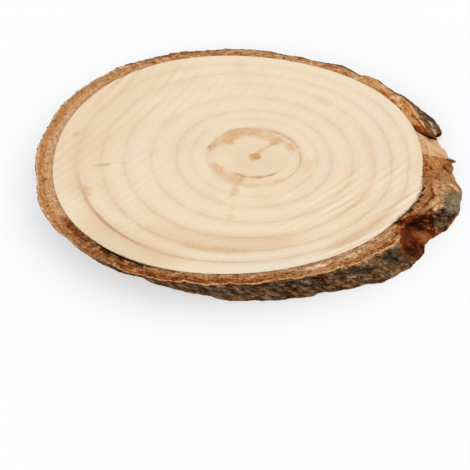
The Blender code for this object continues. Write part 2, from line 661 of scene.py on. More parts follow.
@dataclass(frozen=True)
class Stain:
    """A stain: its middle's angle and ring radius, its half widths and its strength."""

    angle: float
    radius: float
    half_angle: float
    half_radius: float
    strength: float

    def mask(self, angle: Array, radius: Array) -> Array:
        """How strongly the stain shows: fully in its inner third, falling off to its rim.

        Args:
            angle: angles in degrees.
            radius: ring radii in millimetres.

        Returns:
            Strength at each place.
        """
        off_angle = turn_between(self.angle, angle) / self.half_angle
        off_radius = (radius - self.radius) / self.half_radius
        return self.strength * ease(1.5 * (1.0 - np.hypot(off_angle, off_radius)))


@dataclass(frozen=True)
class WoodFinish:
    """Pale sawn sapwood with growth rings, a stained heart and saw marks."""

    cream: Color = seen(243, 223, 192)
    pink: Color = seen(243, 218, 187)
    pale: Color = seen(236, 223, 200)
    ring: Color = seen(206, 160, 112)
    tint: Color = seen(210, 160, 98)
    stain: Color = seen(216, 164, 104)
    dark: Color = seen(186, 126, 70)
    edge_dirt: Color = seen(150, 112, 76)
    roughness: float = 0.62
    relief: float = 0.04
    saw_shade_contrast: float = 0.030
    grain_contrast: float = 0.18
    pore_spacing: float = 0.9

    @staticmethod
    def ring_lines(radius: Wire) -> Wire:
        """How much latewood shows: each ring a soft trough with a finer line in its middle.

        Args:
            radius: the place's ring radius.

        Returns:
            The rings' strength.
        """
        total: Wire | float = 0.0
        for ring in Ring:
            centre, strength = ring.value
            trough = radius.line(centre, 2.3) * (0.36 * strength)
            fine = radius.line(centre + 0.1, 0.55) * (0.42 * strength)
            total = trough + fine + total
        return total

    def grown(self, paint: Paint, place: Wire) -> Wire:
        """The colour that grew: cream and pink patches, tints and growth rings.

        Args:
            paint: the material.
            place: the point in the branch's section.

        Returns:
            The colour.
        """
        color = paint.mix(paint.noise(place, 16.0, 2.0).rise(0.42, 0.62), self.cream, self.pink)
        color = paint.mix(paint.noise(place, 11.0, 3.0).rise(0.52, 0.75) * 0.6, color, self.pale)
        tint = paint.attribute("tint") + (paint.noise(place, 4.0, 3.0) - 0.5) * 0.08
        color = paint.mix(0.0 - tint, color, self.pale)
        color = paint.mix(tint, color, self.tint)
        broad, narrow = paint.noise(place, 7.0, 2.0) - 0.5, paint.noise(place, 1.5, 1.0) - 0.5
        radius = paint.attribute("ring_radius") + broad * 0.7 + narrow * 0.25
        patchy = paint.noise(place, 8.0, 2.0).rise(0.2, 0.7) * 0.6 + 0.55
        lines = self.ring_lines(radius) * patchy * paint.attribute("ring_strength")
        return paint.mix(lines * 0.55, color, self.ring)

    def stained(self, paint: Paint, place: Wire, color: Wire) -> Wire:
        """Lay the blotchy stains and the thin dark lines over a colour.

        Args:
            paint: the material.
            place: the point in the branch's section.
            color: the colour so far.

        Returns:
            The colour.
        """
        stain = paint.attribute("stain")
        blotch = stain + (paint.noise(place, 1.3, 4.0, 0.3) - 0.5) * 0.8
        blotch = blotch + (paint.along_rings(5.0, 0.5) - 0.5) * 0.6
        mottle = paint.noise(place, 0.8, 3.0).rise(0.3, 0.7) * 0.45 + 0.55
        shown = blotch.rise(0.02, 1.05) * mottle * stain.rise(0.0, 0.25)
        color = paint.mix(shown * 0.95, color, self.stain)
        line = paint.attribute("line")
        broken = (line + (paint.noise(place, 1.0, 3.0) - 0.5) * 0.7).rise(0.05, 0.95)
        return paint.mix(broken * line.rise(0.0, 0.2) * 0.75, color, self.dark)

    def build(self, branch: Branch) -> bpy.types.Material:
        """Make the material, on the mesh's ring, saw, tint, stain, line and dirt numbers.

        Args:
            branch: the branch that the wood is cut from.

        Returns:
            The material.
        """
        paint = Paint("sawn_wood", branch)
        place = paint.section_point(stretch=6.0)
        color = self.stained(paint, place, self.grown(paint, place))
        # Painted shade along the saw's arcs: darker in the grooves the blade cut, lighter on the ridges
        # between them
        saw = (paint.attribute("saw_turns") * (2.0 * math.pi)).sine()
        tone = 1.0 + saw * (paint.attribute("saw_depth") * self.saw_shade_contrast)
        tone = tone + (paint.noise(place, 0.5, 2.0) - 0.5) * self.grain_contrast
        dirt = paint.attribute("dirt") + (paint.noise(place, 0.7, 4.0) - 0.5) * 1.5
        color = paint.mix(dirt.rise(0.45, 0.95) * 0.8, color, self.edge_dirt)
        pores = paint.spots(place, self.pore_spacing).rise(0.16, 0.05)
        color = paint.shade(color, tone - pores * 0.08)

        fine = paint.noise(place, 0.35, 3.0)
        roughness = self.roughness + (fine - 0.5) * 0.25
        height = fine * 0.5 + paint.noise(place, 1.2, 3.0) * 0.5 - pores * 0.6
        paint.finish(color, roughness, height, self.relief)
        return paint.material


@dataclass
class WoodDisc:
    """The wood inside the bark: sawn top and underside, leaning side, relief of saw and rings."""

    branch: Branch
    saw: Saw = field(default_factory=Saw)
    finish: WoodFinish = field(default_factory=WoodFinish)
    columns: int = 720
    top_rows: int = 84
    side_rows: int = 6
    base_rows: int = 30
    edge_round: float = 0.05
    fibre_depth: float = 0.015
    ring_depth: float = 0.015
    noise: Noise = Noise(11)
    # Blotches: round the pith and the heart ring, then further out
    stains: tuple = (
        Stain(0.0, 0.0, 720.0, 1.8, 1.5),
        Stain(62.0, 2.0, 26.0, 1.9, 0.60),
        Stain(250.0, 1.6, 26.0, 1.3, 0.45),
        Stain(53.0, 4.4, 12.0, 3.8, 0.52),
        Stain(50.0, 7.0, 15.0, 2.6, 0.66),
        Stain(25.0, 8.4, 19.0, 1.5, 0.72),
        Stain(72.0, 7.9, 40.0, 2.4, 0.50),
        Stain(98.0, 9.2, 24.0, 1.9, 0.58),
        Stain(124.0, 8.8, 24.0, 2.5, 0.86),
        Stain(136.0, 7.4, 9.0, 1.9, 0.80),
        Stain(160.0, 9.8, 15.0, 1.2, 0.72),
        Stain(150.0, 8.8, 13.0, 1.8, 0.50),
        Stain(208.0, 9.0, 24.0, 1.6, 0.74),
        Stain(240.0, 8.7, 22.0, 2.4, 0.66),
        Stain(250.0, 11.0, 7.0, 4.4, 0.28),
        Stain(264.0, 10.0, 16.0, 1.3, 0.46),
        Stain(300.0, 9.9, 18.0, 1.1, 0.46),
        Stain(340.0, 11.6, 24.0, 1.8, 0.34),
        Stain(185.3, 31.2, 1.5, 2.2, 0.80),
        Stain(184.6, 28.6, 1.3, 3.4, 0.26),
        Stain(199.0, 34.6, 5.0, 1.2, 0.60),
        Stain(257.0, 31.5, 20.0, 1.9, 0.50),
        Stain(305.0, 36.1, 20.0, 1.7, 0.34),
        Stain(284.0, 28.0, 14.0, 2.6, 0.28),
        Stain(256.0, 20.5, 4.5, 5.5, 0.34),
        Stain(251.0, 13.0, 6.0, 3.4, 0.36),
        Stain(168.0, 36.8, 2.4, 1.0, 0.60),
    )
    # Thin dark lines: the heart ring, the ring inside it and the last but one ring
    lines: tuple = (
        Stain(45.0, 9.85, 34.0, 0.45, 0.62),
        Stain(10.0, 9.75, 30.0, 0.45, 0.40),
        Stain(80.0, 10.0, 30.0, 0.45, 0.40),
        Stain(112.0, 10.55, 26.0, 0.60, 0.62),
        Stain(150.0, 10.3, 24.0, 0.45, 0.40),
        Stain(160.0, 10.1, 9.0, 0.55, 0.40),
        Stain(350.0, 9.85, 20.0, 0.45, 0.42),
        Stain(318.0, 10.0, 34.0, 0.40, 0.45),
        Stain(205.0, 10.1, 22.0, 0.45, 0.30),
        Stain(272.0, 7.4, 54.0, 0.60, 0.78),
        Stain(245.0, 7.3, 14.0, 0.5, 0.45),
        Stain(300.0, 7.3, 16.0, 0.45, 0.35),
        Stain(212.0, 35.3, 34.0, 0.50, 0.60),
        Stain(226.0, 35.3, 20.0, 0.50, 0.30),
        Stain(256.0, 35.5, 24.0, 0.55, 0.45),
        Stain(0.0, 0.0, 720.0, 1.5, 0.70),
    )
    # Broad tints, towards tan, or towards pale where negative
    tints: tuple = (
        Stain(158.0, 38.0, 62.0, 13.0, 0.17),
        Stain(230.0, 37.5, 26.0, 6.5, 0.30),
        Stain(309.0, 37.0, 26.0, 5.0, 0.36),
        Stain(0.0, 39.5, 42.0, 4.0, 0.30),
        Stain(260.0, 29.6, 42.0, 4.8, 0.30),
        Stain(80.0, 9.0, 120.0, 2.8, 0.26),
        Stain(240.0, 9.2, 70.0, 2.6, 0.14),
        Stain(95.0, 34.5, 4.5, 5.5, 0.12),
        Stain(14.0, 26.3, 26.0, 1.8, 0.20),
        Stain(54.0, 27.2, 9.0, 2.4, 0.22),
        Stain(120.0, 30.0, 18.0, 3.0, 0.08),
        Stain(0.0, 0.0, 720.0, 9.5, 0.18),
        Stain(274.0, 36.0, 26.0, 6.5, -0.55),
        Stain(20.0, 33.0, 60.0, 9.0, -0.25),
        Stain(300.0, 39.5, 70.0, 3.6, -0.35),
    )

    def ring_radius(self, angle: Array, radius: Array) -> Array:
        """Which ring a place belongs to, as the ring's mean radius.

        The place's radius is drawn back towards a round branch: by the outline's own departure
        times (even / mean)^3, found by repeated correction, and by two slow waves that are
        strongest half way out.

        Args:
            angle: angles in degrees.
            radius: distances from the pith.

        Returns:
            Ring radius at each place, in millimetres.
        """
        mean = self.branch.wood
        departure = self.branch.wood_radius(angle) - mean
        even = radius
        for _ in range(8):
            even = radius - departure * (np.clip(even, 0.0, mean + 1.0) / mean) ** 3
        turn = np.radians(angle)
        wave = 0.8 * np.cos(2.0 * (turn - math.radians(105.0)))
        wave = wave + 0.5 * np.cos(turn - math.radians(260.0))
        reach = ease((even - 5.0) / 17.0) * ease((mean - even) / 9.0)
        return even - wave * reach

    def saw_depth(self, points: Array, places: Array) -> Array:
        """How deeply the blade marked a place: slight round the pith, most at the lower right.

        Args:
            points: points on the sawn face, in millimetres.
            places: the same in the branch's section.

        Returns:
            Depth at each place, where 1 is the saw's own.
        """
        x, y = points[..., 0] - self.branch.pith[0], points[..., 1] - self.branch.pith[1]
        lower_right = ease((x + 2.0) / 32.0) * ease((6.0 - y) / 22.0)
        upper_left = ease((6.0 - x) / 30.0) * ease((y - 8.0) / 18.0)
        left = ease((-12.0 - x) / 30.0)
        depth = 0.20 + 1.5 * lower_right + 0.75 * upper_left + 0.22 * left
        patches = np.clip(1.0 + 1.3 * self.noise.fractal(places / 6.0, 2), 0.15, 2.2)
        step = self.saw.turns(self.branch, points)
        strokes = np.stack([step, points[..., 1] / 16.0, 0.0 * step], axis=-1)
        return depth * patches * np.clip(1.0 + 1.6 * self.noise.fractal(strokes, 2), 0.2, 2.0)

    def profile(self) -> tuple[Array, Array]:
        """Rows from the top's middle out to the edge, down the side and in along the underside.

        Returns:
            Share of the full radius, and share of the way down, for each row.
        """
        top = np.sqrt(np.linspace(0.0, 1.0, self.top_rows) ** 1.7)
        part = np.concatenate([top, np.ones(self.side_rows), np.linspace(1.0, 0.0, self.base_rows)])
        down = np.concatenate([
            np.zeros(self.top_rows), np.linspace(0.02, 0.98, self.side_rows),
            np.ones(self.base_rows)])
        return part[:, None], down[:, None]

    def lowered(self, depth: Array, turns: Array, rings: Array, places: Array) -> Array:
        """How far a sawn face lies under its plane: the saw's arcs, late rings and fine fibre.

        Args:
            depth: how deeply the blade marked each place.
            turns: the blade's feed steps.
            rings: ring radii.
            places: points in the branch's section.

        Returns:
            Millimetres for each place.
        """
        arcs = self.saw.height * depth * (0.5 - 0.5 * np.sin(2.0 * math.pi * turns))
        total = arcs + self.fibre_depth * (1.0 + self.noise.fractal(places / 0.9, 3))
        for ring in Ring:
            total = total + self.ring_depth * ease(1.0 - np.abs(rings - ring.value[0]) / 0.7)
        return total

    @staticmethod
    def dirt(angle: Array, inset: Array) -> Array:
        """How dirty the wood's edge is.

        Args:
            angle: angles in degrees.
            inset: distances from the edge, in millimetres.

        Returns:
            Dirt at each place.
        """
        dirt = 0.42 + 0.35 * Stretch.STAINED_EDGE.share(angle) + 0.35 * bump(angle, 226.0, 26.0)
        dirt = dirt - 0.40 * Stretch.BACK_EDGE.share(angle) - 0.22 * Stretch.LEFT_EDGE.share(angle)
        return dirt * ease((1.0 - inset) / 0.95)

    def build(self) -> bpy.types.Object:
        """Make the disc.

        Returns:
            The disc, with its material.
        """
        branch = self.branch
        angle = (np.arange(self.columns) * 360.0 / self.columns)[None, :]
        part, down = self.profile()
        full = branch.wood_radius(angle)
        sawn = (down == 0.0) | (down == 1.0)
        radius = part * full - self.edge_round * ((part > 0.999) & sawn)
        rings = self.ring_radius(angle, radius)
        flat = branch.place(radius, angle, branch.thickness * (1.0 - down))
        turns = self.saw.turns(branch, flat) + 0.16 * self.noise.fractal(flat / 9.0, 2)
        places = branch.section_points(radius, angle, down * 0.2)
        depth = self.saw_depth(flat, places)
        inward = np.where(down == 0.0, 1.0, np.where(down == 1.0, -1.0, 0.0))
        points = flat.copy()
        points[..., 2] -= inward * self.lowered(depth, turns, rings, places)
        disc = closed_grid("wood_disc", points, poles=True)
        far = ease((rings - 12.0) / 16.0)
        faded = 0.62 * far * (0.5 - 0.5 * np.cos(np.radians(angle - 285.0)))
        for name, values in (
            ("ring_radius", rings),
            ("ring_strength", 1.0 - faded),
            ("saw_turns", turns),
            ("saw_depth", depth),
            ("dirt", self.dirt(angle, (1.0 - part) * full)),
            ("stain", sum(stain.mask(angle, rings) for stain in self.stains)),
            ("line", sum(line.mask(angle, rings) for line in self.lines)),
            ("tint", sum(tint.mask(angle, rings) for tint in self.tints)),
        ):
            store(disc, name, values, poles=True)
        disc.data.materials.append(self.finish.build(branch))
        return disc


# The bark

@dataclass(frozen=True)
class Chip:
    """A place where bark has broken away.

    Its middle is at an angle on the top face and drifts by some degrees on the way down. Bark is
    lost over the half width, and the loss fades out over the ends' widths beyond it, on the side
    of smaller angles and on the side of larger ones.
    """

    angle: float
    half_width: float
    drift: float
    top_loss: float
    bottom_loss: float
    low_end: float
    high_end: float
    sharpness: float = 1.0

    def share(self, angle: Array, down: Array) -> Array:
        """How far inside the chip a place is, raised to the chip's sharpness.

        Args:
            angle: angles in degrees.
            down: shares of the way down.

        Returns:
            From 0 in sound bark to 1 inside the chip.
        """
        offset = turn_between(self.angle + self.drift * down, angle)
        end = np.where(offset > 0.0, self.high_end, self.low_end)
        return ease(1.0 - (np.abs(offset) - self.half_width) / end) ** self.sharpness

    def loss(self, angle: Array, down: Array) -> Array:
        """Bark lost, in millimetres."""
        return self.share(angle, down) * (self.top_loss + (self.bottom_loss - self.top_loss) * down)


class Break(Enum):
    """The chips of this bark, by name. A negative loss is extra bark."""

    BARE = Chip(8.6, 6.0, 6.5, 2.6, 1.7, 3.0, 1.8)              # down to a thin inner skin
    TIP = Chip(18.5, 1.5, 0.0, 0.2, 1.1, 2.0, 5.0)              # the bark's end above it
    SPLINTER = Chip(7.4, 0.3, 0.0, 0.0, -1.5, 1.3, 1.2)         # sticks out under the bare patch
    WORN = Chip(-2.0, 4.0, 4.0, 0.0, 1.3, 6.0, 5.0)             # the slope beside it
    FLAKED = Chip(-14.0, 3.0, -4.0, 0.9, 0.0, 4.0, 4.0)         # flakes lost from the knob's edge
    NOTCH = Chip(-38.5, 1.0, 0.5, 2.9, 1.5, 7.5, 9.5, 1.3)      # rust-red, to the wood at the top
    FOOT = Chip(-56.0, 5.0, 0.0, 0.0, -0.8, 6.0, 3.0)           # the wall's foot stands out
    CRACK = Chip(-82.0, 0.8, 3.0, 0.7, 0.7, 1.6, 1.6)
    UNDERCUT = Chip(-120.0, 8.0, 0.0, 0.0, 0.9, 7.0, 8.0)       # lower edge at the front left


@dataclass(frozen=True)
class Touch:
    """A patch that changes the bark's tone, redness and greyness.

    Its middle and half sizes are an angle and a share: of the way across on the sawn face, of the
    way down on the wall. The patch may slant, by some degrees for the whole of that way.
    """

    angle: float
    at: float
    half_angle: float
    half_at: float
    tone: float
    red: float = 0.0
    grey: float = 0.0
    slant: float = 0.0

    def mask(self, angle: Array, at: Array) -> Array:
        """How strongly the patch shows.

        Args:
            angle: angles in degrees.
            at: shares across the face or down the wall.

        Returns:
            1 in the middle, falling to 0 at the patch's rim.
        """
        centre = self.angle + self.slant * (at - self.at)
        off_angle = turn_between(centre, angle) / self.half_angle
        off_at = (at - self.at) / self.half_at
        return ease(1.8 * (1.0 - np.hypot(off_angle, off_at)))


@dataclass(frozen=True)
class Sunken:
    """A stretch of the sawn face that slopes down towards the rim.

    The drop is the depth at the rim, and grows from the wood outwards as a power of the share of
    the way across.
    """

    angle: float
    half_width: float
    depth: float
    power: float

    def drop(self, angle: Array, across: Array) -> Array:
        """How far the face lies under the saw's plane, in millimetres."""
        return self.depth * bump(angle, self.angle, self.half_width) * across ** self.power


@dataclass(frozen=True)
class Around:
    """Numbers listed at angles round the branch and eased in between."""

    places: tuple

    def at(self, angle: Array, column: int = 1) -> Array:
        """The listed number for each angle.

        Args:
            angle: angles in degrees.
            column: which of a place's numbers, counted with its angle as the first.

        Returns:
            One number for each angle.
        """
        start = np.array([place[0] for place in self.places] + [360.0])
        number = np.array([place[column] for place in self.places + self.places[:1]])
        turn = angle % 360.0
        index = np.clip(np.searchsorted(start, turn, side="right") - 1, 0, len(start) - 2)
        part = ease((turn - start[index]) / (start[index + 1] - start[index]))
        return number[index] + (number[index + 1] - number[index]) * part


@dataclass(frozen=True)
class BarkFinish:
    """Bark in four families of colour, each a scale from dark to light.

    The mesh keeps a tone for each place, and noise of several sizes is added to it before the
    scales turn it into a colour.
    """

    natural: tuple = (
        (0.00, seen(44, 20, 5)), (0.15, seen(80, 39, 9)), (0.30, seen(116, 66, 27)),
        (0.45, seen(148, 93, 50)), (0.60, seen(178, 123, 77)), (0.75, seen(201, 150, 104)),
        (0.88, seen(221, 178, 136)), (1.00, seen(242, 214, 180)),
    )
    rusty: tuple = (
        (0.00, seen(44, 12, 2)), (0.15, seen(86, 32, 8)), (0.30, seen(120, 56, 16)),
        (0.45, seen(152, 84, 34)), (0.60, seen(182, 114, 54)), (0.75, seen(205, 144, 84)),
        (0.88, seen(218, 168, 120)), (1.00, seen(238, 206, 168)),
    )
    rough: tuple = (
        (0.00, seen(26, 12, 3)), (0.15, seen(60, 32, 11)), (0.30, seen(84, 54, 29)),
        (0.45, seen(106, 74, 46)), (0.60, seen(128, 95, 64)), (0.75, seen(152, 118, 88)),
        (0.90, seen(182, 150, 118)), (1.00, seen(212, 186, 154)),
    )
    grey: tuple = (
        (0.00, seen(26, 20, 12)), (0.20, seen(58, 47, 34)), (0.40, seen(86, 72, 54)),
        (0.60, seen(116, 99, 75)), (0.80, seen(146, 129, 102)), (1.00, seen(190, 174, 146)),
    )
    roughness: float = 0.88
    shine: float = 0.06
    relief: float = 0.28
    # Dark crumbs, and painted shade in the pits and in the seam beside the wood
    crumb_and_shade: Color = seen(44, 24, 12)
    bare: Color = seen(233, 191, 147)
    bare_deep: Color = seen(210, 158, 109)

    def tone(self, paint: Paint, place: Wire) -> Wire:
        """The mesh's tone with grain, blotches, layer streaks, fibre streaks and dark dots.

        Args:
            paint: the material.
            place: the point in the branch's section.

        Returns:
            The tone, from 0 for the dark end of a scale to 1 for the light end.
        """
        lively = 1.0 - paint.attribute("calm") * 0.65
        tone = paint.attribute("tone") + (paint.noise(place, 0.5, 2.0) - 0.5) * (lively * 0.80)
        blotches = paint.noise(place, 1.5, 4.0) - 0.5
        tone = tone + blotches * (paint.attribute("blotchy") * lively * 1.2)
        layers = paint.layered(2.4, 0.30) - 0.5
        tone = tone + layers * (paint.attribute("streaky") * lively * 1.3)
        fibres = paint.noise(paint.section_point(stretch=9.0), 0.8, 3.0) - 0.5
        tone = tone + fibres * (paint.attribute("fibrous") * lively)
        dots = paint.spots(place, 0.62).rise(0.36, 0.16)
        dots = dots * paint.noise(place, 1.6, 2.0).rise(0.40, 0.55)
        return tone - dots * (paint.attribute("dots") * 0.34)

    def inner_skin(self, paint: Paint, tone: Wire) -> Wire:
        """Colour of the bare patch: pale tan with streaks along the grain, browner where shaded.

        Args:
            paint: the material.
            tone: the bark's tone.

        Returns:
            The colour.
        """
        streak = paint.noise(paint.section_point(stretch=9.0), 1.1, 3.0)
        bare = paint.mix(streak.rise(0.35, 0.7) * 0.6, self.bare, self.bare_deep)
        return paint.mix(paint.attribute("bare_shade") * 0.6, bare, paint.ramp(tone + 0.1, self.natural))

    def build(self, branch: Branch) -> bpy.types.Material:
        """Make the material, on the mesh's tone, red, grey, wall and bare numbers.

        Args:
            branch: the branch that the bark is on.

        Returns:
            The material.
        """
        paint = Paint("branch_bark", branch)
        paint.shader.inputs["Specular IOR Level"].default_value = self.shine
        place = paint.section_point(stretch=1.4)
        tone = self.tone(paint, place)
        natural, rusty, rough, grey = (
            paint.ramp(tone, stops) for stops in (self.natural, self.rusty, self.rough, self.grey))
        edge = (paint.noise(place, 1.1, 4.0) - 0.5) * 1.1
        color = paint.mix(paint.attribute("wall"), natural, rough)
        color = paint.mix((paint.attribute("red") + edge).rise(0.0, 1.0), color, rusty)
        color = paint.mix((paint.attribute("grey") + edge).rise(0.15, 0.85), color, grey)
        bare = (paint.attribute("bare") + edge * 0.5).rise(0.42, 0.60)
        color = paint.mix(bare, color, self.inner_skin(paint, tone))
        # Pits take the crumbs' dark colour: dark crumbs, and painted shade in the hollows
        color = paint.mix(paint.attribute("pit") * 0.8, color, self.crumb_and_shade)
        # Painted shade on the bark's inner face, which shows only in the seam, darker where the bark is
        # crumbly
        color = paint.mix(paint.attribute("inside") * 0.7, color, self.crumb_and_shade)
        height = paint.noise(place, 0.45, 4.0) * 0.6 + paint.noise(place, 1.3, 4.0) * 0.4
        height = height * (1.0 - paint.attribute("bare") * 0.8)
        roughness = self.roughness + (paint.noise(place, 0.6, 3.0) - 0.5) * 0.2
        roughness = roughness - paint.attribute("grey") * 0.15
        paint.finish(color, roughness, height, self.relief)
        return paint.material


class Face(Enum):
    """The faces of the bark, in the order of a section's rows."""

    INSIDE = 0         # towards the wood
    TOP = 1            # sawn, seen from above
    WALL = 2           # the branch's outside
    UNDERSIDE = 3      # sawn, on the table


@dataclass(frozen=True)
class Grid:
    """The band's mesh before it takes shape: rows along a section, columns round the branch.

    Across and down are a row's shares of the bark's depth and of the slice's thickness.
    """

    angle: Array
    across: Array
    down: Array
    face: Array

    def on(self, face: Face) -> Array:
        """Whether each row is on a face."""
        return self.face == face.value


@dataclass(frozen=True)
class Shape:
    """The bark's depth at each point of the grid, and what it was made of."""

    outside: Array     # section points of sound bark's outside
    ragged: Array      # angles with an error that makes the chips' edges ragged
    depth: Array       # thickness in millimetres
    bare: Array        # share of the bare patch
    furrow: Array      # how deep in a furrow, from 0 to 1
    relief: Array      # fine relief, from about -1 to 1


@dataclass(frozen=True)
class Surface:
    """Section points of the finished band, with its crumbs and pits."""

    places: Array
    crumbs: Array      # how crumbly the sawn face is, most beside the wood
    pit: Array         # share of a dark pit


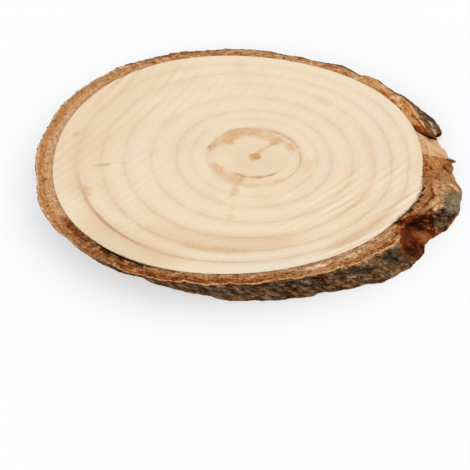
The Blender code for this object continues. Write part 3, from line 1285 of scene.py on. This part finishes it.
@dataclass
class BarkBand:
    """The closed band of bark: sawn faces, rough outer wall, chips, notch and bare patch."""

    branch: Branch
    finish: BarkFinish = field(default_factory=BarkFinish)
    columns: int = 1640
    inner_rows: int = 4
    top_rows: int = 22
    wall_rows: int = 27
    base_rows: int = 4
    contact_gap: float = 0.012
    thinnest: float = 0.6
    # The break above the bare patch slants back by some degrees across the bark, over a bump
    fracture_slant: float = 4.3
    fracture: tuple[float, float] = (16.0, 9.0)
    loose_seam: tuple = (234.0, 18.0, 0.8)
    noise: Noise = Noise(29)
    # Angle, sound thickness in millimetres
    thickness: Around = Around((
        (0.0, 2.9), (20.0, 2.95), (31.0, 3.3), (37.0, 3.1), (44.0, 2.65), (50.5, 2.7),
        (54.0, 2.3), (61.0, 2.95), (71.0, 1.95), (75.0, 2.35), (80.0, 2.1), (87.0, 2.8),
        (98.0, 2.8), (104.0, 2.5), (114.0, 2.95), (122.0, 2.85), (131.0, 3.6), (137.0, 3.4),
        (149.0, 3.75), (155.0, 3.9), (167.0, 3.65), (179.0, 4.05), (190.0, 3.55), (200.0, 4.35),
        (212.0, 4.25), (216.0, 3.85), (222.0, 3.95), (231.0, 3.2), (244.0, 3.5), (262.0, 3.5),
        (284.0, 3.8), (300.0, 4.5), (312.0, 4.3), (333.0, 3.3), (348.0, 3.5),
    ))
    # Angle, tone, redness
    face_colors: Around = Around((
        (0.0, 0.62, 0.65), (14.0, 0.62, 0.6), (20.0, 0.75, 0.9), (38.0, 0.77, 0.75),
        (55.0, 0.70, 0.2), (80.0, 0.70, 0.15), (105.0, 0.64, 0.2), (125.0, 0.69, 0.2),
        (160.0, 0.70, 0.2), (205.0, 0.70, 0.2), (216.0, 0.54, 0.15), (226.0, 0.43, 0.0),
        (240.0, 0.47, 0.1), (258.0, 0.53, 0.25), (276.0, 0.56, 0.3), (290.0, 0.63, 0.1),
        (312.0, 0.62, 0.15), (322.0, 0.54, 0.3), (335.0, 0.53, 0.15), (348.0, 0.58, 0.3),
    ))
    wall_colors: Around = Around((
        (0.0, 0.56, 0.5), (14.0, 0.45, 0.2), (20.0, 0.42, 0.0), (60.0, 0.42, 0.0),
        (120.0, 0.45, 0.0), (200.0, 0.42, 0.0), (232.0, 0.47, 0.1), (250.0, 0.46, 0.1),
        (270.0, 0.46, 0.1), (285.0, 0.48, 0.15), (300.0, 0.51, 0.05), (312.0, 0.50, 0.0),
        (330.0, 0.44, 0.1), (342.0, 0.50, 0.1), (352.0, 0.56, 0.4),
    ))
    face_touches: tuple = (
        # Upper right
        Touch(22.0, 0.60, 6.5, 0.11, -0.26, 0.2),
        Touch(29.0, 0.36, 5.0, 0.10, -0.16, 0.1),
        Touch(38.0, 0.14, 7.0, 0.14, -0.20),
        Touch(24.0, 0.76, 7.5, 0.05, 0.10, -0.3),
        # Dark broken end above the bare patch: the break's red-brown, with a painted shadow under the torn
        # bark
        Touch(16.4, 0.50, 3.2, 1.00, -0.42, 0.9),
        Touch(14.8, 0.85, 2.6, 0.40, -0.26, 0.5),
        # Worn slope and knob
        Touch(-3.0, 0.12, 9.0, 0.14, -0.14),
        Touch(0.0, 0.80, 5.0, 0.30, 0.12, 0.2),
        Touch(-9.0, 0.30, 8.0, 0.40, -0.04, 0.1),
        # A thin painted shadow along the sawn face, inside its rim over the knob
        Touch(-21.0, 0.72, 8.0, 0.09, -0.26, 0.4),
        Touch(-19.0, 0.92, 10.0, 0.18, 0.18, -0.3),
        # Notch
        Touch(-34.0, 0.90, 5.0, 0.45, -0.34, 0.7),
        Touch(-37.8, 0.20, 2.2, 0.40, -0.65, 0.2),
        Touch(-37.6, 0.55, 1.8, 0.40, -0.50, 0.4),
        Touch(-42.0, 0.95, 3.0, 0.30, -0.15, 0.6),
        # Front right
        Touch(-55.0, 0.76, 17.0, 0.16, -0.18, 0.5),
        Touch(-50.0, 0.34, 8.0, 0.10, 0.12),
        Touch(-60.0, 0.36, 4.0, 0.20, 0.20),
        Touch(-73.0, 0.40, 5.0, 0.22, 0.24),
        Touch(-84.0, 0.45, 10.0, 0.12, -0.12, 0.3),
        Touch(-82.0, 0.22, 56.0, 0.30, 0.06, -0.3, 0.40),
        # Front left
        Touch(-104.0, 0.94, 28.0, 0.08, 0.12, 0.1),
        Touch(-104.0, 0.70, 27.0, 0.24, -0.12, 0.9),
        Touch(-100.0, 0.20, 24.0, 0.18, 0.06, -0.3),
        Touch(-126.0, 0.60, 12.0, 0.40, 0.0, 0.2),
        Touch(-128.0, 0.16, 9.0, 0.14, -0.16, 0.1),
        Touch(-145.0, 0.20, 9.0, 0.34, -0.24, 0.1),
        # Left and back
        Touch(178.0, 0.26, 52.0, 0.34, 0.08, -0.4, 0.1),
        Touch(180.0, 0.60, 50.0, 0.28, -0.03, 0.35),
        Touch(112.0, 0.75, 14.0, 0.30, -0.18, 0.1),
        Touch(62.0, 0.55, 5.0, 0.35, -0.08, 0.5),
    )
    wall_touches: tuple = (
        # Grey patches of the front wall, from the left
        Touch(-113.0, 0.45, 4.0, 0.30, 0.0, 0.0, 0.5),
        Touch(-103.5, 0.30, 7.0, 0.60, -0.10, 0.0, 0.65),
        Touch(-93.0, 0.25, 4.5, 0.35, -0.04, 0.0, 0.5),
        Touch(-87.0, 0.30, 3.5, 0.40, -0.04, 0.0, 0.5),
        Touch(-79.5, 0.34, 5.5, 0.45, -0.12, 0.1, 0.75),
        Touch(-62.5, 0.30, 5.5, 0.34, -0.18, -0.2, 0.7),
        Touch(-57.0, 0.70, 4.0, 0.50, 0.10, -0.2, 0.3),
        Touch(-51.5, 0.34, 4.0, 0.38, -0.20, -0.2, 0.8),
        Touch(-48.0, 0.78, 5.0, 0.30, 0.02, -0.2, 0.4),
        # Rust-red notch
        Touch(-43.6, 0.84, 5.4, 0.56, -0.28, 1.4, 0.0, 3.0),
        Touch(-42.4, 0.26, 6.8, 0.62, -0.22, 1.5, 0.0, -4.0),
        Touch(-38.6, 0.66, 2.4, 0.44, 0.06, 0.9),
        Touch(-33.5, 0.20, 6.0, 0.52, -0.42, 1.0),
        # Foot between notch and knob
        Touch(-34.5, 0.84, 4.5, 0.34, -0.04, 0.9),
        Touch(-30.0, 0.97, 9.0, 0.12, -0.06, 0.7),
        Touch(-28.5, 0.66, 6.0, 0.50, -0.03, -0.2, 0.45),
        # Knob with its grey facet
        Touch(-20.0, 0.16, 9.5, 0.36, 0.28, -0.3, -0.6, 6.0),
        Touch(-17.2, 0.74, 7.6, 0.50, 0.22, -0.5, 1.1, 6.4),
        Touch(-10.2, 0.78, 1.6, 0.34, 0.20, 0.0, -0.8),
        Touch(-7.5, 0.45, 6.5, 0.66, 0.12, -0.8, 0.25, 5.0),
        Touch(-2.6, 0.50, 3.2, 0.26, -0.26, 0.4, 0.3),
        Touch(1.5, 0.40, 2.4, 0.60, 0.06, 0.6),
        # Tip above the bare patch, with a cream chip
        # Painted shadow under the torn tip, over the break's red-brown
        Touch(15.8, 0.36, 2.6, 0.95, -0.36, 1.2, -0.6),
        Touch(18.6, 0.50, 2.2, 0.50, -0.20, 1.3, -0.8),
        Touch(21.8, 0.78, 3.0, 0.26, -0.16, 1.4, -1.3),
        Touch(21.3, 0.46, 2.9, 0.17, 0.60, -0.7, -0.9),
        Touch(25.0, 0.72, 12.0, 0.50, -0.02, 0.0, 0.8),
        Touch(27.0, 0.12, 13.0, 0.34, 0.13, 0.1, 0.2),
        # Pale upper edges
        Touch(92.0, 0.0, 44.0, 0.25, 0.30),
        Touch(-58.8, 0.05, 3.6, 0.20, 0.32, 0.2),
        Touch(-47.0, 0.08, 3.0, 0.22, 0.30, -0.3),
    )
    sunken: tuple = (
        Sunken(-6.0, 22.0, 1.2, 1.6),
        Sunken(-21.0, 12.0, 1.3, 6.0),
        Sunken(-38.0, 8.0, 1.8, 3.0),
        Sunken(15.5, 4.5, 2.4, 0.8),
        Sunken(26.0, 22.0, 0.5, 3.0),
    )

    @staticmethod
    def plates(angle: Array, down: Array) -> Array:
        """Rounded plates along the grain with furrows between.

        Two sets of ridges, each the size of a sine with its sign dropped, wander sideways on the
        way down. A slower wave breaks them across the grain.

        Args:
            angle: angles in degrees.
            down: shares of the way down.

        Returns:
            Height at each place, in millimetres.
        """
        turn = np.radians(angle)
        wander = 0.05 * np.sin(2.0 * math.pi * down + 5.0 * turn)
        broad = np.abs(np.sin(17.0 * (turn + wander) + 1.3 * np.sin(3.0 * turn)))
        narrow = np.abs(np.sin(34.5 * (turn - wander) + 0.8 * np.sin(7.0 * turn)))
        breaks = np.sin(9.0 * turn + 4.0 * down) * np.sin(5.5 * down + 2.0 * turn)
        return 0.55 * (broad - 0.64) + 0.25 * (narrow - 0.64) + 0.18 * breaks

    def wall_relief(self, places: Array, smooth: Array) -> tuple[Array, Array, Array]:
        """Fine relief of the outer wall.

        Scales and cracks come from noise stretched along the grain. Both are weak on smooth skin.

        Args:
            places: section points of the wall.
            smooth: the smooth skin's mask.

        Returns:
            Height in millimetres, how deep in a furrow a place is from 0 to 1, and the fine
            relief from about -1 to 1.
        """
        stretched = places / np.array([1.0, 1.0, 1.4])
        warp = self.noise.fractal(stretched / 3.0, 2)[..., None] * 0.9
        scales = self.noise.fractal(stretched / 1.4 + warp, 4, 0.65)
        border, owner = Noise(31).cells(stretched / 1.7 + warp)
        cracks = ease(1.0 - border / 0.16) * ease(owner * 3.0 - 0.5)
        rough = 1.0 - 0.7 * smooth
        height = (0.42 * scales + 0.24 * (owner - 0.5) - 0.40 * cracks) * rough + 0.10 * smooth
        relief = np.clip(1.6 * scales + owner - 0.5, -1.0, 1.0)
        return height, np.clip(cracks * rough, 0.0, 1.0), relief

    def grid(self) -> Grid:
        """Rows up the inside, out over the top, down the wall and in along the underside.

        Returns:
            The grid.
        """
        across = np.concatenate([
            np.zeros(self.inner_rows), np.linspace(0.0, 1.0, self.top_rows) ** 0.85,
            np.ones(self.wall_rows), np.linspace(1.0, 0.0, self.base_rows)])
        wall_down = np.linspace(0.0, 1.0, self.wall_rows + 1)[1:] ** 1.12
        down = np.concatenate([
            np.linspace(0.98, 0.03, self.inner_rows), np.zeros(self.top_rows), wall_down * 0.985,
            np.ones(self.base_rows)])
        counts = (self.inner_rows, self.top_rows, self.wall_rows, self.base_rows)
        face = np.repeat([face.value for face in Face], counts)
        angle = np.arange(self.columns) * 360.0 / self.columns
        return Grid(angle[None, :], across[:, None], down[:, None], face[:, None])

    @staticmethod
    def specks(angle: Array) -> Array:
        """How crumbly and dark the bark is beside the wood.

        Args:
            angle: angles in degrees.

        Returns:
            About 1 where it is worst, and less than 0 where it is clean.
        """
        clean = 0.15 - 0.3 * bump(angle, 175.0, 45.0)
        return clean + 1.25 * Stretch.CRUMBLY.share(angle) + 0.6 * bump(angle, 234.0, 20.0)

    @staticmethod
    def skin_start(angle: Array) -> Array:
        """Share of the way across at which the dark skin begins on the sawn face.

        Args:
            angle: angles in degrees.

        Returns:
            The share for each angle.
        """
        tip = 0.10 * Stretch.TIP_SKIN.share(angle) + 0.14 * bump(angle, 17.5, 7.0)
        back = 0.24 * Stretch.BACK_SKIN.share(angle)
        return 0.97 - tip - back - 0.01 * Stretch.LEFT_SKIN.share(angle)

    def touched(self, grid: Grid, uneven: Array, places: Array) -> tuple[list, list]:
        """Tone, redness and greyness from the lists of colours and touches.

        Args:
            grid: the band's rows and columns.
            uneven: angles with an error that keeps a touch's rim from being even.
            places: section points of the band.

        Returns:
            The three numbers for the sawn face, and the three for the wall.
        """
        shift = 0.10 * self.noise.fractal(places / 1.3 + 31.0, 3)
        lists = []
        for colors, touches, at in (
            (self.face_colors, self.face_touches, grid.across + 0.5 * shift),
            (self.wall_colors, self.wall_touches, grid.down + shift),
        ):
            masks = [touch.mask(uneven, at) for touch in touches]
            start = colors.at(grid.angle), colors.at(grid.angle, 2), 0.0
            changes = zip(*((touch.tone, touch.red, touch.grey) for touch in touches))
            lists.append([
                number + sum(change * mask for change, mask in zip(column, masks))
                for number, column in zip(start, changes)])
        patches = self.noise.fractal(places / np.array([4.0, 4.0, 8.0]), 3)
        scattered = ease((patches - 0.02) * 5.0) * Stretch.GREY_WALL.share(grid.angle)
        lists[1][2] = lists[1][2] + 0.8 * scattered
        return lists[0], lists[1]

    def pale_line(self, angle: Array, inset: Array, places: Array) -> tuple[Array, Array]:
        """The light line just inside the dark skin, even and wide at the left, even at the front.

        Args:
            angle: angles in degrees.
            inset: crinkled share of the way across, less the skin's start.
            places: section points of the band.

        Returns:
            How much lighter each place is, and how far it is on the line, from 0 to 1.
        """
        left, front = Stretch.LEFT.share(angle), Stretch.FRONT.share(angle)
        broken = np.clip(0.7 + self.noise.fractal(places / 3.0 + 8.0, 2), 0.0, 1.3)
        light = 0.10 + 0.20 * front + 0.20 * left
        light = light * (broken + (1.0 - broken) * 0.7 * np.maximum(left, front))
        off_line = np.abs(inset + 0.03 + 0.02 * left)
        line = ease(1.0 - off_line / (0.042 + 0.018 * left + 0.012 * front))
        return light * line, line

    @staticmethod
    def calmness(grid: Grid, uneven: Array, line: Array) -> Array:
        """How much weaker the colour's noise is: on the pale line and on smooth stretches.

        Args:
            grid: the band's rows and columns.
            uneven: angles with an error.
            line: the pale line's mask.

        Returns:
            From 0 for all of the noise to 1 for the least of it.
        """
        quiet = 0.55 * ease((grid.across - 0.30) / 0.2) * Stretch.SLOPE.share(uneven)
        quiet = quiet + 0.20 * Stretch.FAR_SIDE.share(grid.angle)
        quiet = quiet + 0.35 * Stretch.LEFT_SMOOTH.share(grid.angle)
        on_wall = Stretch.RUST.share(uneven) + 0.8 * Stretch.WORN.share(uneven)
        on_top = np.maximum(0.9 * line, quiet)
        return np.where(grid.on(Face.TOP), on_top, grid.on(Face.WALL) * on_wall)

    @staticmethod
    def skin(grid: Grid, uneven: Array, inset: Array) -> Array:
        """How much of the wall's rough skin shows: none inside, underneath or on fresh bark.

        Args:
            grid: the band's rows and columns.
            uneven: angles with an error.
            inset: crinkled share of the way across, less the skin's start.

        Returns:
            From 0 to 1 for each place.
        """
        top, wall = grid.on(Face.TOP), grid.on(Face.WALL)
        skin = np.where(wall, ease(grid.down / 0.05), ease(inset / 0.05))
        fresh = Stretch.FRESH.share(uneven - 5.0 * grid.down)
        fresh = np.clip(fresh + Stretch.KNOB.share(uneven) * (grid.down < 0.3), 0.0, 1.0)
        return np.where(top | wall, skin * (1.0 - fresh), 0.0)

    def colouring(self, grid: Grid, places: Array) -> dict[str, Array]:
        """The colours' base numbers.

        Args:
            grid: the band's rows and columns.
            places: section points of the band.

        Returns:
            Tone, red, grey, wall (how much of its rough skin shows) and calm, by name.
        """
        angle, front = grid.angle, Stretch.FRONT.share(grid.angle)
        error = 1.5 + 2.0 * bump(angle, 314.0, 9.0)
        uneven = angle + error * self.noise.fractal(places / 1.6 + 5.0, 3)
        on_top, on_wall = self.touched(grid, uneven, places)
        crinkle = 0.05 * (1.0 - 0.6 * front) * self.noise.fractal(places / 0.8 + 3.0, 3)
        inset = grid.across + crinkle - self.skin_start(angle)
        light, line = self.pale_line(angle, inset, places)
        on_top[0] = on_top[0] + light
        on_top[1] = on_top[1] * (1.0 - 0.6 * line * front)
        skin = self.skin(grid, uneven, inset)
        share = np.where(grid.on(Face.WALL), 1.0, skin)
        tone, red, grey = (low + (high - low) * share for low, high in zip(on_top, on_wall))
        calm = self.calmness(grid, uneven, line)
        return {"tone": tone, "red": red, "grey": grey, "wall": skin, "calm": calm}

    def shape(self, grid: Grid) -> Shape:
        """The bark's depth: sound thickness, plates and fine relief, less what the chips take.

        Args:
            grid: the band's rows and columns.

        Returns:
            The depth with what it was made of.
        """
        angle, down = grid.angle, grid.down
        sound = self.thickness.at(angle)
        outside = self.branch.section_points(self.branch.wood_radius(angle) + sound, angle, down)
        error = self.noise.fractal(outside / np.array([1.6, 1.6, 2.2]), 4, 0.6)
        ragged = angle + 1.1 * error
        bare, notch = (item.value.share(ragged, down) for item in (Break.BARE, Break.NOTCH))
        loss = sum(item.value.loss(ragged, down) for item in Break)
        smooth = sum(
            min(max(touch.grey, 0.0), 1.0) * touch.mask(angle, down) for touch in self.wall_touches)
        fine, furrow, relief = self.wall_relief(outside, np.clip(smooth, 0.0, 1.0))
        edges = 1.0 - 0.5 * ease(1.0 - down / 0.12) - 0.6 * ease((down - 0.82) / 0.18)
        even = 1.0 - 0.85 * Stretch.FAR_WALL.share(angle) * ease(1.2 - down / 0.6)
        plates = self.plates(angle, down) * (1.0 - 0.5 * bare) * even
        plates = plates * (1.0 - 0.4 * ease((down - 0.6) / 0.4))
        fine = fine * (1.0 - bare) * (1.0 - 0.6 * notch) * edges * even
        depth = sound + plates + fine - loss + 0.35 * notch * self.noise.fractal(outside / 1.2, 4)
        least = self.thinnest + 0.1 * self.noise.fractal(outside / 3.0, 2)
        return Shape(outside, ragged, np.maximum(depth, least), bare, furrow, relief)

    def inner_radius(self, grid: Grid, shape: Shape) -> Array:
        """Radius of the bark's inside: the wood's, a thin seam, and the gap at the loose stretch.

        Args:
            grid: the band's rows and columns.
            shape: the bark's depth.

        Returns:
            Millimetres for each place.
        """
        centre, half_width, opening = self.loose_seam
        dirty = np.clip(self.specks(grid.angle), 0.0, 1.0)
        uneven = 0.06 * dirty * (0.5 + 0.5 * self.noise.fractal(shape.outside / 1.3, 3))
        opening = opening * bump(grid.angle, centre, half_width)
        opening = opening * (1.0 - 0.95 * ease(grid.down / 0.35))
        return self.branch.wood_radius(grid.angle) + self.contact_gap + uneven + opening

    def surface(self, grid: Grid, places: Array) -> Surface:
        """Crumbs and pits at the section points of the band.

        Args:
            grid: the band's rows and columns.
            places: section points of the band.

        Returns:
            The points with the crumbs and pits.
        """
        crumbs = ease(1.0 - grid.across / 0.40) * self.specks(grid.angle)
        pit = ease((self.noise.fractal(places / 0.8 + 9.0, 3) + 0.46 * crumbs - 0.40) * 3.0)
        return Surface(places, crumbs, pit)

    def lowered(self, grid: Grid, shape: Shape, surface: Surface) -> Array:
        """How far the faces lie under their plain heights.

        The sawn faces have pits and fibres and crumble at the rim. The top also slopes down
        where it is sunken, and takes the wall's upper part along.

        Args:
            grid: the band's rows and columns.
            shape: the bark's depth.
            surface: the band's crumbs and pits.

        Returns:
            Millimetres for each place.
        """
        fibres = self.noise.fractal(surface.places / 0.45, 3)
        rim = ease((grid.across - 0.84) / 0.16) * (0.22 + 0.30 * fibres)
        sawn = (0.03 + 0.05 * (fibres + 1.0)) * ease(grid.across / 0.1) + rim
        sawn = sawn + (0.10 + 0.5 * surface.crumbs) * surface.pit
        slump = sum(part.drop(shape.ragged, grid.across) for part in self.sunken)
        wall = slump * (1.0 - grid.down) ** 2 + 0.3 * (1.0 - grid.down) ** 8
        faces = [grid.on(Face.TOP), grid.on(Face.WALL), grid.on(Face.UNDERSIDE)]
        return np.select(faces, [sawn + slump, wall, -0.6 * sawn], 0.0)

    def numbers(self, grid: Grid, shape: Shape, surface: Surface) -> dict[str, Array]:
        """Everything that the material reads from the mesh.

        Args:
            grid: the band's rows and columns.
            shape: the bark's depth.
            surface: the band's crumbs and pits.

        Returns:
            One number for each place, by name.
        """
        angle, bare = grid.angle, shape.bare
        top, wall = grid.on(Face.TOP), grid.on(Face.WALL)
        dirty = np.clip(self.specks(angle), 0.0, 1.0)
        above = turn_between(Break.BARE.value.angle, angle) > 0.0
        # The break's steep face above the bare patch: redder as broken bark, darker as painted shadow
        steep = np.clip(4.0 * bare * (1.0 - bare), 0.0, 1.0) * above
        colors = self.colouring(grid, surface.places)
        # Painted light and shade on the wall: lighter on raised scales, darker in the cracks
        relief_light_and_shade = (0.22 * shape.relief - 0.40 * shape.furrow) * wall * (1.0 - bare)
        blotchy = 0.6 + 0.3 * Stretch.BACK_BLOTCHES.share(angle) + 0.5 * bump(angle, 232.0, 32.0)
        turn = np.radians(angle)
        return colors | {
            "tone": colors["tone"] + relief_light_and_shade * (1.0 - 0.8 * colors["calm"]) - 0.32 * steep,
            "red": colors["red"] + 0.9 * steep,
            "streaky": top * (0.5 + 0.2 * Stretch.FRONT_LAYERS.share(angle)),
            "fibrous": wall * Stretch.FIBRES.share(angle),
            "blotchy": np.where(top, blotchy, 1.35),
            "dots": top * (0.35 + surface.crumbs),
            "deep": grid.across * shape.depth,
            "round_x": np.cos(turn),
            "round_y": np.sin(turn),
            # Painted shade on the inner face in the seam, deepest where the bark is crumbly
            "inside": grid.on(Face.INSIDE) * (0.3 + 0.7 * dirty),
            "pit": surface.pit * top,
            "bare": np.where(above, ease((bare - 0.5) / 0.45), bare),
            "bare_shade": 1.1 * ease(1.3 - grid.down / 0.14) * Stretch.SHADED.share(angle),
        }

    def build(self) -> bpy.types.Object:
        """Make the band, whose radius is the inside's plus each row's share of the bark's depth.

        Returns:
            The band, with its material.
        """
        branch, grid = self.branch, self.grid()
        shape = self.shape(grid)
        radius = self.inner_radius(grid, shape) + grid.across * shape.depth
        slant = self.fracture_slant * bump(grid.angle, *self.fracture)
        slanted = grid.angle - slant * grid.across * shape.depth / self.thickness.at(grid.angle)
        surface = self.surface(grid, branch.section_points(radius, grid.angle, grid.down))
        height = branch.thickness * (1.0 - grid.down) - self.lowered(grid, shape, surface)
        low, high = (np.array(corner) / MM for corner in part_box("bark"))
        points = np.clip(branch.place(radius, slanted, height), low, high)
        band = closed_grid("bark_band", points, poles=False)
        for name, values in self.numbers(grid, shape, surface).items():
            store(band, name, values * np.ones_like(radius), poles=False)
        band.data.materials.append(self.finish.build(branch))
        return band


# Floor, light and camera

class Lamp(Enum):
    """The soft lights: place in metres, side in metres, power in watts and colour."""

    KEY_LIGHT = ((0.62, 0.62, 0.90), 1.5, 4.0, (1.0, 0.98, 0.95))
    FILL_LIGHT = ((-0.9, -0.6, 0.55), 0.9, 2.4, (0.96, 0.98, 1.0))


@dataclass(frozen=True)
class Studio:
    """A white table in soft light, seen from the photograph's angle."""

    branch: Branch
    elevation: float = math.radians(53.5)
    distance: float = 700.0
    focal_in_widths: float = 5.287
    aim_from_pith: tuple[float, float] = (-5.687, -21.846)
    floor_reach: float = 4.0
    floor_color: Color = (0.412, 0.416, 0.424)
    sky: Color = (1.0, 1.0, 1.0)
    floor_glow: float = 0.50
    sky_strength: float = 1.0

    def floor(self) -> bpy.types.Object:
        """Lay a wide flat sheet under the slice.

        Returns:
            The sheet, with its material.
        """
        reach = self.floor_reach
        mesh = bpy.data.meshes.new("table_top")
        corners = [(-reach, -reach, 0.0), (reach, -reach, 0.0), (reach, reach, 0.0), (-reach, reach, 0.0)]
        mesh.from_pydata(corners, [], [(0, 1, 2, 3)])
        made = bpy.data.objects.new("table_top", mesh)
        bpy.context.scene.collection.objects.link(made)
        finish = bpy.data.materials.new("table_white")
        finish.use_nodes = True
        shader = finish.node_tree.nodes["Principled BSDF"]
        shader.inputs["Base Color"].default_value = (*self.floor_color, 1.0)
        shader.inputs["Roughness"].default_value = 0.8
        shader.inputs["Specular IOR Level"].default_value = 0.1
        shader.inputs["Emission Color"].default_value = (1.0, 1.0, 1.0, 1.0)
        shader.inputs["Emission Strength"].default_value = self.floor_glow
        mesh.materials.append(finish)
        return made

    def area_light(self, name: str, place: tuple, size: float, power: float, color: Color) -> None:
        """Hang a square soft light that looks at the slice.

        Args:
            name: the light's name.
            place: where it hangs, in metres.
            size: its side in metres.
            power: its power in watts.
            color: its colour.
        """
        data = bpy.data.lights.new(name, "AREA")
        data.size = size
        data.energy = power
        data.color = color
        made = bpy.data.objects.new(name, data)
        made.location = place
        made.rotation_euler = (-Vector(place)).to_track_quat("-Z", "Y").to_euler()
        bpy.context.scene.collection.objects.link(made)

    def camera(self) -> None:
        """Set up the camera at the photograph's height over the table, with its framing."""
        data = bpy.data.cameras.new("camera")
        data.sensor_width = 36.0
        data.lens = self.focal_in_widths * data.sensor_width
        data.clip_start = 0.01
        made = bpy.data.objects.new("camera", data)
        aim = Vector((
            self.branch.pith[0] + self.aim_from_pith[0], self.branch.pith[1] + self.aim_from_pith[1], 0.0))
        back = Vector((0.0, -math.cos(self.elevation), math.sin(self.elevation)))
        made.location = (aim + back * self.distance) * MM
        made.rotation_euler = back.to_track_quat("Z", "Y").to_euler()
        bpy.context.scene.collection.objects.link(made)
        bpy.context.scene.camera = made

    def build(self) -> None:
        """Make everything round the slice."""
        scene = bpy.context.scene
        scene.view_settings.view_transform = "Standard"
        world = bpy.data.worlds.new("bright_room")
        world.use_nodes = True
        background = world.node_tree.nodes["Background"]
        background.inputs["Color"].default_value = (*self.sky, 1.0)
        background.inputs["Strength"].default_value = self.sky_strength
        scene.world = world
        self.floor()
        for lamp in Lamp:
            self.area_light(lamp.name.lower(), *lamp.value)
        self.camera()


def main() -> None:
    """Build the studio and both pieces, tie them to the frame and note the sizes."""
    logging.basicConfig(level=logging.INFO, format="%(name)s: %(message)s")
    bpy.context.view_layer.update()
    branch = Branch.from_frame()
    log.info("pith at %.2f, %.2f mm", *branch.pith)
    Studio(branch).build()
    for maker, node, slot in ((WoodDisc(branch), "wood", "wood"), (BarkBand(branch), "bark", "bark")):
        piece = maker.build()
        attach(piece, "root")
        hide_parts(node)
        log.info("%s has %d faces", piece.name, len(piece.data.polygons))


if __name__ == "__main__":
    main()
